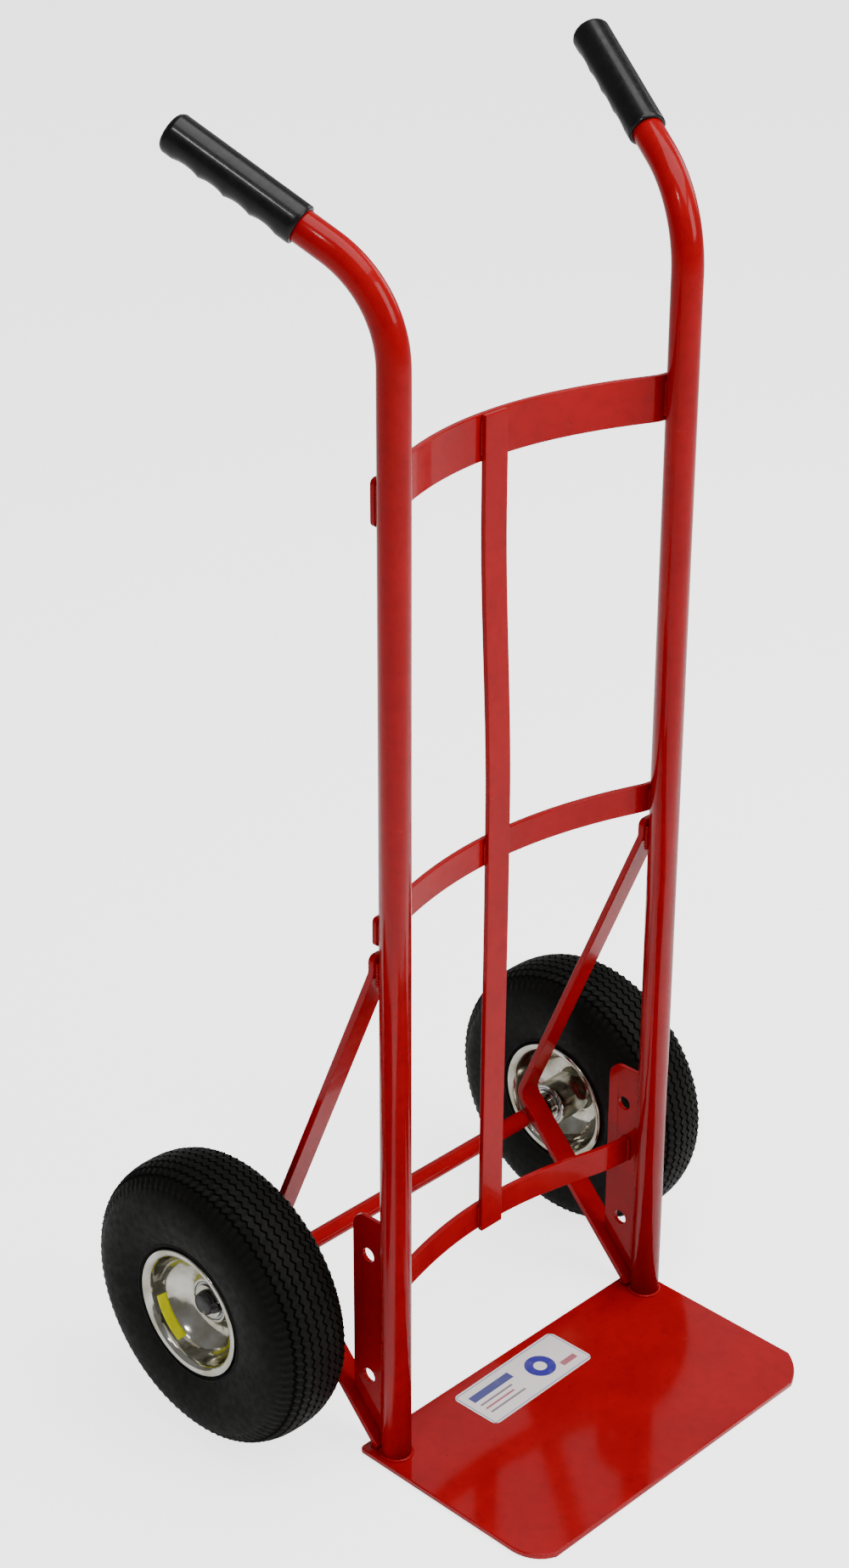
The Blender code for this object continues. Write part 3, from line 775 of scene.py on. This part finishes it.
def printed_vinyl():
    made, tree, shader, place = finish(
        "printed_sticker_vinyl", IOR=1.5, Coat_Weight=0.3, Coat_Roughness=0.1,
    )
    centred = add_node(tree, "ShaderNodeVectorMath", [(0, place), (1, STICKER)], operation="SUBTRACT")
    turned = add_node(
        tree, "ShaderNodeVectorRotate",
        [("Vector", centred.outputs["Vector"]), ("Angle", -STICKER_TURN)], rotation_type="Z_AXIS",
    )
    axes = add_node(tree, "ShaderNodeSeparateXYZ", [("Vector", turned.outputs["Vector"])])
    x, y = axes.outputs["X"], axes.outputs["Y"]
    colour = srgb("#F1EDEA")
    inner = inside_box(tree, x, y, (0, 0), (61.5, 22.5))
    outer = inside_box(tree, x, y, (0, 0), (62.5, 23.5))
    colour = blend_colours(tree, maths(tree, "SUBTRACT", outer, inner), colour, srgb("#8C93B8"))
    for centre, half, ink in (
        ((-30, 11), (25, 4.2), "#4B4F8C"), ((-34, 1), (20, 1.1), "#8F7F8C"),
        ((-36, -5), (18, 1.1), "#B46A76"), ((-32, -11), (22, 1.1), "#8F7F8C"),
        ((46, -12), (9, 3.0), "#B46A76"),
    ):
        colour = blend_colours(tree, inside_box(tree, x, y, centre, half), colour, srgb(ink))
    off_x = maths(tree, "SUBTRACT", x, 22 * MM)
    squares = maths(tree, "MULTIPLY", off_x, off_x), maths(tree, "MULTIPLY", y, y)
    reach = maths(tree, "SQRT", maths(tree, "ADD", *squares))
    disc = maths(tree, "LESS_THAN", reach, 14 * MM)
    hole = maths(tree, "LESS_THAN", reach, 6 * MM)
    colour = blend_colours(tree, disc, colour, srgb("#35309A"))
    colour = blend_colours(tree, hole, colour, srgb("#F1EDEA"))
    grime = spread(tree, grain(tree, place, 12, 4.0), 0.5, 0.9, 0.0, 0.2)
    tree.links.new(blend_colours(tree, grime, colour, srgb("#B9AFA6")), shader.inputs["Base Color"])
    dull = spread(tree, grain(tree, place, 10, 3.0), 0.3, 0.7, 0.3, 0.45)
    tree.links.new(dull, shader.inputs["Roughness"])
    relief(tree, shader, grain(tree, place, 6, 2.0), 0.05, 0.5)
    return made


work = bmesh.new()
bmesh.ops.create_grid(work, x_segments=1, y_segments=1, size=0.5)
bmesh.ops.scale(work, vec=(*STICKER_SIZE, 1), verts=work.verts)
bmesh.ops.bevel(
    work, geom=list(work.verts), offset=STICKER_CORNER, offset_type="OFFSET", segments=8, profile=0.5,
    affect="VERTICES", material=-1,
)
whole = bmesh.ops.extrude_face_region(work, geom=list(work.faces))["geom"]
lifted = [g for g in whole if isinstance(g, bmesh.types.BMVert)]
bmesh.ops.translate(work, verts=lifted, vec=(0, 0, STICKER_T))
bmesh.ops.rotate(work, verts=work.verts, cent=(0, 0, 0), matrix=Matrix.Rotation(STICKER_TURN, 3, "Z"))
moved(work, (STICKER.x, STICKER.y, PLATE_TOP + 0.02 * MM))
sticker = settle(work, "plate_sticker", printed_vinyl(), "frame", ["plate_label"])
print(sticker.name, "at", [round(c, 4) for c in STICKER])

# %% [markdown]
# ## Axle
# The axle is a solid bar, painted with the frame. Its ends are chamfered so that the wheels slide on.

# %% Axle
CHAMFER = 1.2 * MM
section = [
    (-AXLE_HALF, 0.0), (-AXLE_HALF, AXLE_R - CHAMFER), (CHAMFER - AXLE_HALF, AXLE_R),
    (AXLE_HALF - CHAMFER, AXLE_R), (AXLE_HALF, AXLE_R - CHAMFER), (AXLE_HALF, 0.0),
]
work = moved(spin_section(section, 40, False), (0, AXLE.y, AXLE.z))
axle_bar = settle(work, "axle_bar", red_enamel, "frame", ["axle"])
print(axle_bar.name, f"{2 * AXLE_HALF / MM:.0f} mm long")

# %% [markdown]
# ## Weld beads
# Every joint of the frame is welded, and the beads are painted over. A bead looks like a row of
# overlapping coins. It is swept as a small ring of points along its line, and the ring swells and
# shrinks at each coin.

# %% Weld beads
COIN = 2.6 * MM
RIPPLE = 0.16


def lay_bead(work, path, radius):
    """A rippled bead along a path of points, closed at both ends or joined in a loop."""
    points = [Vector(p) for p in path]
    joined = (points[0] - points[-1]).length < 0.01 * MM
    travelled = 0.0
    rings = []
    count = len(points) - 1 if joined else len(points)
    for i in range(count):
        after = points[(i + 1) % len(points)] if i < len(points) - 1 else points[i]
        before = points[i - 1] if i else (points[-2] if joined else points[0])
        along = (after - before).normalized()
        if i:
            travelled += (points[i] - points[i - 1]).length
        ripple = 1 + RIPPLE * math.sin(2 * math.pi * travelled / COIN)
        ends = 1.0 if joined else min(1.0, 0.35 + 0.325 * min(i, count - 1 - i))
        size = radius * ripple * ends
        made = bmesh.ops.create_circle(work, segments=10, radius=size)["verts"]
        turn = along.to_track_quat("Z", "Y").to_matrix().to_4x4()
        bmesh.ops.transform(work, matrix=Matrix.Translation(points[i]) @ turn, verts=made)
        rings.append(list({e for v in made for e in v.link_edges}))
    pairs = list(zip(rings, rings[1:]))
    if joined:
        pairs.append((rings[-1], rings[0]))
    else:
        for ring in (rings[0], rings[-1]):
            bmesh.ops.contextual_create(work, geom=ring)
    for first, second in pairs:
        bmesh.ops.bridge_loops(work, edges=first + second)


def straight(start, end):
    """Points along a line, four to each coin of the bead."""
    start, end = Vector(start), Vector(end)
    count = max(6, round((end - start).length / COIN * 4))
    return [start.lerp(end, i / count) for i in range(count + 1)]


def ring_path(centre, radius, count=96):
    """A level circle of points that ends where it starts."""
    turns = [2 * math.pi * (i % count) / count for i in range(count + 1)]
    return [Vector(centre) + radius * Vector((math.cos(a), math.sin(a), 0)) for a in turns]


def weld_one_side(word):
    """The beads of one rail, from its foot on the plate up to the top strap."""
    side = MIRROR[word]
    x = side * RAIL_X
    work = bmesh.new()
    lay_bead(work, ring_path((x, RAIL_Y, PLATE_TOP + 0.4 * MM), RAIL_R + 0.5 * MM), 1.5 * MM)
    for strap in ("top_strap", "middle_strap"):
        low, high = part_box(strap)
        y = RAIL_Y + 12.1 * MM
        for bead_x in (x - side * 5.0 * MM, x + side * 5.0 * MM):
            lay_bead(work, straight((bead_x, y, low.z + 4 * MM), (bead_x, y, high.z - 4 * MM)), 1.5 * MM)
    low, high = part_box("lower_strap")
    inside = x - side * 3.2 * MM
    for y in (RAIL_Y + 22.0 * MM, RAIL_Y + 29.0 * MM):
        lay_bead(work, straight((inside, y, low.z + 1 * MM), (inside, y, high.z - 1 * MM)), 1.7 * MM)
    for face in (-1, 1):
        bracket_x, bracket_y = x + face * 2.6 * MM, RAIL_Y + 13.0 * MM
        for start in (35, 115, 195):
            lay_bead(work, straight(
                (bracket_x, bracket_y, start * MM), (bracket_x, bracket_y, (start + 26) * MM),
            ), 1.9 * MM)
        brace_x = x + face * 7.0 * MM
        lay_bead(work, straight(
            (brace_x, RAIL_Y + 12.2 * MM, 452 * MM), (brace_x, RAIL_Y + 12.2 * MM, 474 * MM),
        ), 2.0 * MM)
        saddle_x = x + face * 10.5 * MM
        lay_bead(work, straight(
            (saddle_x, RAIL_Y + 133.0 * MM, 126.5 * MM), (saddle_x, RAIL_Y + 141.0 * MM, 136.0 * MM),
        ), 2.0 * MM)
    for y in (7.0, 17.0):
        foot_y = RAIL_Y + y * MM + 2.5 * MM
        lay_bead(work, straight(
            (x - 10 * MM, foot_y, PLATE_TOP + 0.9 * MM), (x + 10 * MM, foot_y, PLATE_TOP + 0.9 * MM),
        ), 2.0 * MM)
    return settle(work, "weld_beads_" + word, red_enamel, "frame", sharp=80)


for word in MIRROR:
    made = weld_one_side(word)
    print(made.name, len(made.data.polygons), "faces")

# %% [markdown]
# The upright strap is tacked to each bow with a short bead along its edges.

# %% Tack welds
work = bmesh.new()
half_bar = (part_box("centre_strap")[1].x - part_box("centre_strap")[0].x) / 2
for strap, inset in (("top_strap", 5 * MM), ("middle_strap", 3 * MM), ("lower_strap", 3 * MM)):
    low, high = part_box(strap)
    for face in (-1, 1):
        x = face * (half_bar + 0.2 * MM)
        y = RAIL_Y + upright_rear((low.z + high.z) / 2) - 0.6 * MM
        lay_bead(work, straight((x, y, low.z + inset), (x, y, high.z - inset)), 0.9 * MM)
tacks = settle(work, "weld_tacks", red_enamel, "frame", sharp=80)
print(tacks.name, len(tacks.data.polygons), "faces")

# %% [markdown]
# ## Tyres
# A small pneumatic tyre has a round section and a moulded tread of zigzag ribs, with a serrated
# shoulder. The section is drawn once, grooves and all, and spun in four steps for each zig and zag.
# Then the points of the tread are slid sideways, one way on odd bends and the other way on even ones,
# so that the straight grooves turn into zigzags.

# %% Tyre section
TYRE_MIDDLE_R = 89 * MM
TYRE_HALF_W = 41 * MM
CROWN_H = 38 * MM
FLANK_H = 58.7 * MM
GROOVES = (4.2 * MM, 12.4 * MM, 20.0 * MM, 27.0 * MM)
GROOVE_DEPTH = 2.2 * MM
TREAD_EDGE = 34.0 * MM
ZIGZAGS = 96


def crown_r(u):
    """Radius of the crown at a distance from the tyre's middle: a squarish ellipse."""
    return TYRE_MIDDLE_R + CROWN_H * max(0.0, 1 - abs(u / TYRE_HALF_W) ** 2.4) ** (1 / 2.4)


def half_section():
    """From the middle of the tread to the bead, on the side of positive u."""
    points = [(0.0, crown_r(0.0))]
    for centre in GROOVES:
        for step, sunk in ((-1.2, 0.0), (-0.6, 1.0), (0.6, 1.0), (1.2, 0.0)):
            u = centre + step * MM
            points.append((u, crown_r(u) - sunk * GROOVE_DEPTH))
        points.append((centre + 3.6 * MM, crown_r(centre + 3.6 * MM)))
    points.append((TREAD_EDGE, crown_r(TREAD_EDGE)))
    points.append((TREAD_EDGE + 0.5 * MM, crown_r(TREAD_EDGE + 0.5 * MM) - 1.0 * MM))
    for u in (36.0, 37.8, 39.2, 40.2, 40.8):
        points.append((u * MM - 0.3 * MM, crown_r(u * MM) - 0.6 * MM))
    for degrees in (0, 4, 8, 12, 16, 20, 24, 27):
        a = math.radians(degrees)
        points.append((TYRE_HALF_W * math.cos(a), TYRE_MIDDLE_R - FLANK_H * math.sin(a)))
    points += [
        (37.0 * MM, 61.6 * MM), (37.1 * MM, 60.4 * MM), (36.2 * MM, 59.8 * MM), (34.6 * MM, 58.4 * MM),
        (33.6 * MM, 56.2 * MM), (33.4 * MM, 51.6 * MM), (26.0 * MM, 51.2 * MM),
    ]
    return points


inside_wall = [(25, 56), (31, 66), (34, 80), (33, 96), (26, 109), (14, 116.5), (0, 118)]
half = half_section() + [(u * MM, r * MM) for u, r in inside_wall]
tyre_section = half + [(-u, r) for u, r in reversed(half)][1:-1]
print("tyre section of", len(tyre_section), "points")

# %% Tyres
TREAD_FLOOR_R = 108 * MM
RIBS_END = 29 * MM
SERRATION = 1.3 * MM
ZIG = 1.5 * MM


def make_tyre(word):
    side = MIRROR[word]
    work = spin_section(tyre_section, ZIGZAGS * 4, True, side)
    zigzag = (0.0, 1.0, 0.0, -1.0)
    for v in work.verts:
        reach = math.hypot(v.co.y, v.co.z)
        if reach < TREAD_FLOOR_R or reach < crown_r(v.co.x) - GROOVE_DEPTH - 1 * MM:
            continue
        turn = math.atan2(v.co.y, -v.co.z) / (2 * math.pi) * ZIGZAGS * 4
        phase = round(turn) % 4
        off = abs(v.co.x)
        if RIBS_END < off < TREAD_EDGE + 1 * MM:
            if phase >= 2:
                shrink = (reach - SERRATION) / reach
                v.co.y *= shrink
                v.co.z *= shrink
        elif off < RIBS_END:
            v.co.x += ZIG * zigzag[phase]
    moved(work, (side * WHEEL_X, AXLE.y, AXLE.z))
    return settle(
        work, "treaded_tyre_" + word, tyre_rubber, word + "_wheel", [word + "_tyre"], 30,
    )


for word in MIRROR:
    made = make_tyre(word)
    print(made.name, len(made.data.polygons), "faces")

# %% [markdown]
# ## Rims
# A rim is two pressed bowls of 1.6 mm steel, joined at the middle, each with a rolled lip that holds the
# tyre's bead. Each bowl is one smooth line spun about the axle, and Solidify gives the sheet its
# thickness. The two halves lean on each other, with the hub's tube through both.

# %% Rims
RIM_T = 1.6 * MM
bowl = smooth_line([
    (u * MM, r * MM) for u, r in (
        (35.2, 56.6), (36.3, 56.2), (36.4, 54.6), (35.6, 52.2), (33.0, 50.3), (27.0, 49.3), (20.0, 47.6),
        (13.5, 43.6), (8.6, 38.2), (5.4, 33.4), (4.0, 29.0), (3.4, 25.0), (3.4, 20.9),
    )
], 4)


def make_rim_half(word, half, direction):
    side = MIRROR[word]
    work = spin_section([(direction * u, r) for u, r in bowl], 96, False, side)
    moved(work, (side * WHEEL_X, AXLE.y, AXLE.z))
    node = f"{word}_rim_{half}"
    piece = settle(work, f"pressed_rim_{word}_{half}", zinc, word + "_wheel", [node], 50)
    return thickened(piece, RIM_T)


for word in MIRROR:
    for half, direction in (("outer", 1), ("inner", -1)):
        print(make_rim_half(word, half, direction).name, "made")

# %% [markdown]
# ## Hubs and bearings
# The hub is a turned tube with a small weld flange against each bowl. A ball bearing is pressed into
# each end, closed by a black rubber seal between its two rings. Everything here is turned about the
# axle, so each piece is only a section.

# %% Hubs
HUB_R = 20 * MM
HUB_BORE_R = 15.5 * MM
HUB_IN = -45 * MM
HUB_OUT = 12 * MM
BEARING_R = 17.5 * MM
BEARING_W = 11 * MM


def turned_piece(name, section, word, material, body, stands_for, steps=64):
    side = MIRROR[word]
    work = moved(spin_section(section, steps, True, side), (side * WHEEL_X, AXLE.y, AXLE.z))
    return settle(work, name, material, body, stands_for)


def hub_section():
    """A tube with eased ends, a small flange at its middle and a seat for a bearing in each end."""
    seat = BEARING_R + CONTACT
    step = 0.8 * MM
    outer_seat = HUB_OUT - BEARING_W - CONTACT
    inner_seat = HUB_IN + BEARING_W + CONTACT
    return [
        (HUB_IN, HUB_R - step), (HUB_IN + step, HUB_R), (-7.0 * MM, HUB_R), (-5.5 * MM, HUB_R + step),
        (5.5 * MM, HUB_R + step), (7.0 * MM, HUB_R), (HUB_OUT - step, HUB_R), (HUB_OUT, HUB_R - step),
        (HUB_OUT, seat), (outer_seat, seat), (outer_seat, HUB_BORE_R),
        (inner_seat, HUB_BORE_R), (inner_seat, seat), (HUB_IN, seat),
    ]


for word in MIRROR:
    made = turned_piece(
        "hub_tube_" + word, hub_section(), word, zinc, word + "_wheel", [word + "_hub"],
    )
    print(made.name, "made")

# %% Bearings
def ring_section(low, high, inner, outer, ease=0.4 * MM):
    """A ring with eased edges."""
    return [
        (low, inner + ease), (low, outer - ease), (low + ease, outer), (high - ease, outer),
        (high, outer - ease), (high, inner + ease), (high - ease, inner), (low + ease, inner),
    ]


for word in MIRROR:
    for place, low in (("inner", HUB_IN), ("outer", HUB_OUT - BEARING_W)):
        high = low + BEARING_W
        tag = f"{word}_{place}"
        turned_piece(
            "bearing_cup_" + tag, ring_section(low, high, 14.6 * MM, BEARING_R), word, bearing_steel,
            word + "_wheel", [f"{word}_bearing_{place}_cup"], 48,
        )
        turned_piece(
            "bearing_seal_" + tag, ring_section(low + 0.7 * MM, high - 0.7 * MM, 12.7 * MM, 14.5 * MM),
            word, nylon, word + "_wheel", (), 48,
        )
        turned_piece(
            "bearing_cone_" + tag, ring_section(low, high, AXLE_R + CONTACT, 12.5 * MM), word,
            bearing_steel, "frame", [f"{word}_bearing_{place}_cone"], 48,
        )
print("bearings with seals made")

# %% [markdown]
# Washers and a spacer keep the wheel between the brace and a push-on cap. They stay still on the axle.

# %% Axle hardware
def cap_section(low, high):
    """A push-on cap with a domed end and a brim."""
    outside = smooth_line([
        (high, 0.0), (high - 0.3 * MM, 5.0 * MM), (high - 1.6 * MM, 8.8 * MM), (high - 3.2 * MM, 9.9 * MM),
    ], 5)
    return outside + [
        (low + 1.4 * MM, 10.0 * MM), (low + 1.0 * MM, 10.5 * MM), (low, 10.5 * MM), (low, AXLE_R + CONTACT),
        (high - 2.4 * MM, AXLE_R + CONTACT), (high - 2.4 * MM, 0.0),
    ]


for word, side in MIRROR.items():
    for node, name in (
        ("spacer", "axle_spacer_"), ("inner_washer", "flat_washer_inner_"),
        ("outer_washer", "flat_washer_outer_"),
    ):
        low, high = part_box(f"{word}_{node}")
        outs = sorted(abs(x) - WHEEL_X for x in (low.x, high.x))
        radius = (high.z - low.z) / 2
        section = ring_section(outs[0], outs[1], AXLE_R + CONTACT, radius, 0.3 * MM)
        turned_piece(name + word, section, word, zinc, "frame", [f"{word}_{node}"], 48)
    low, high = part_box(word + "_axle_cap")
    outs = sorted(abs(x) - WHEEL_X for x in (low.x, high.x))
    work = moved(spin_section(cap_section(*outs), 48, False, side), (side * WHEEL_X, AXLE.y, AXLE.z))
    made = settle(work, "axle_cap_" + word, nylon, "frame", [word + "_axle_cap"])
    print(made.name, f"{(outs[1] - outs[0]) / MM:.1f} mm long")

# %% [markdown]
# ## Valves and rim stickers
# The valve's rubber stem comes through the outer bowl and leans outwards. Its cap is ribbed nylon. The
# yellow sticker lies on the bowl's wall, bent to it.

# %% Valves
VALVE_TURN = math.radians(150)
STEM_MM = (
    (-6.5, 0.0), (-6.5, 3.7), (0.4, 3.7), (1.0, 5.2), (2.6, 5.2), (3.6, 3.7), (12.0, 3.2), (17.0, 2.9),
    (17.0, 0.0),
)
CAP_MM = ((17.3, 0.0), (17.3, 3.9), (17.8, 4.1), (23.2, 3.9), (24.2, 3.0), (24.5, 0.0))
CAP_RIB = 0.92


def valve_line(word):
    """The middle of the valve's hole, and the direction in which the stem leans out."""
    side = MIRROR[word]
    out = Vector((side, 0, 0))
    radial = Vector((0, math.cos(VALVE_TURN), math.sin(VALVE_TURN)))
    centre = Vector((side * WHEEL_X, AXLE.y, AXLE.z))
    return centre + out * 14.3 * MM + radial * 45.4 * MM, (out * 0.73 - radial * 0.683).normalized()


def along_valve(work, word):
    """Lays a shape turned about X along the valve's line."""
    place, lean = valve_line(word)
    turn = lean.to_track_quat("X", "Z").to_matrix().to_4x4()
    bmesh.ops.transform(work, matrix=Matrix.Translation(place) @ turn, verts=work.verts)
    return work


for word in MIRROR:
    work = along_valve(spin_section([(u * MM, r * MM) for u, r in STEM_MM], 24, False), word)
    settle(
        work, "valve_stem_rubber_" + word, tube_rubber, word + "_wheel", [word + "_valve_stem"],
    )
    work = spin_section([(u * MM, r * MM) for u, r in CAP_MM], 32, False)
    for v in work.verts:
        step = round(math.atan2(v.co.y, v.co.z) / math.pi * 16)
        if math.hypot(v.co.y, v.co.z) > 3.5 * MM and step % 2:
            v.co.y *= CAP_RIB
            v.co.z *= CAP_RIB
    made = settle(
        along_valve(work, word), "valve_cap_ribbed_" + word, nylon, word + "_wheel",
        [word + "_valve_cap"],
    )
    print(made.name, "made")

# %% Rim stickers
STICKER_ARC = math.radians(50)
STICKER_AT = math.radians(-38)
STICKER_ROWS_MM = (20, 21.5, 23, 24.5, 26, 27.5, 29)


def bowl_point(u):
    """Radius of the bowl's visible face at a distance out from the wheel's middle."""
    ahead = [p for p in bowl if p[0] >= u and p[0] > 3.5 * MM][-1]
    behind = [p for p in bowl if p[0] < u][0]
    share = (u - behind[0]) / (ahead[0] - behind[0])
    return behind[1] + share * (ahead[1] - behind[1]) - 1.0 * MM


def make_rim_sticker(word):
    side = MIRROR[word]
    work = bmesh.new()
    rows = [work.verts.new((side * u * MM, bowl_point(u * MM), 0)) for u in STICKER_ROWS_MM]
    edges = [work.edges.new(pair) for pair in zip(rows, rows[1:])]
    start = Matrix.Rotation(STICKER_AT - STICKER_ARC / 2, 3, "X")
    bmesh.ops.rotate(work, verts=rows, cent=(0, 0, 0), matrix=start)
    bmesh.ops.spin(
        work, geom=rows + edges, cent=(0, 0, 0), axis=(1, 0, 0), dvec=(0, 0, 0),
        angle=STICKER_ARC, steps=24, use_merge=False,
    )
    moved(work, (side * WHEEL_X, AXLE.y, AXLE.z))
    piece = settle(work, "rim_sticker_" + word, yellow, word + "_wheel", [word + "_rim_label"])
    return thickened(piece, 0.25 * MM)


for word in MIRROR:
    print(make_rim_sticker(word).name, "made")

# %% [markdown]
# ## Carried-over nodes
# The inner tubes are hidden inside the tyres, but they still get their own finish.

# %% Carried-over nodes
for word in MIRROR:
    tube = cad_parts[word + "_inner_tube"]
    tube.data.materials.clear()
    tube.data.materials.append(tube_rubber)
    print(tube.name, "keeps its CAD shape")
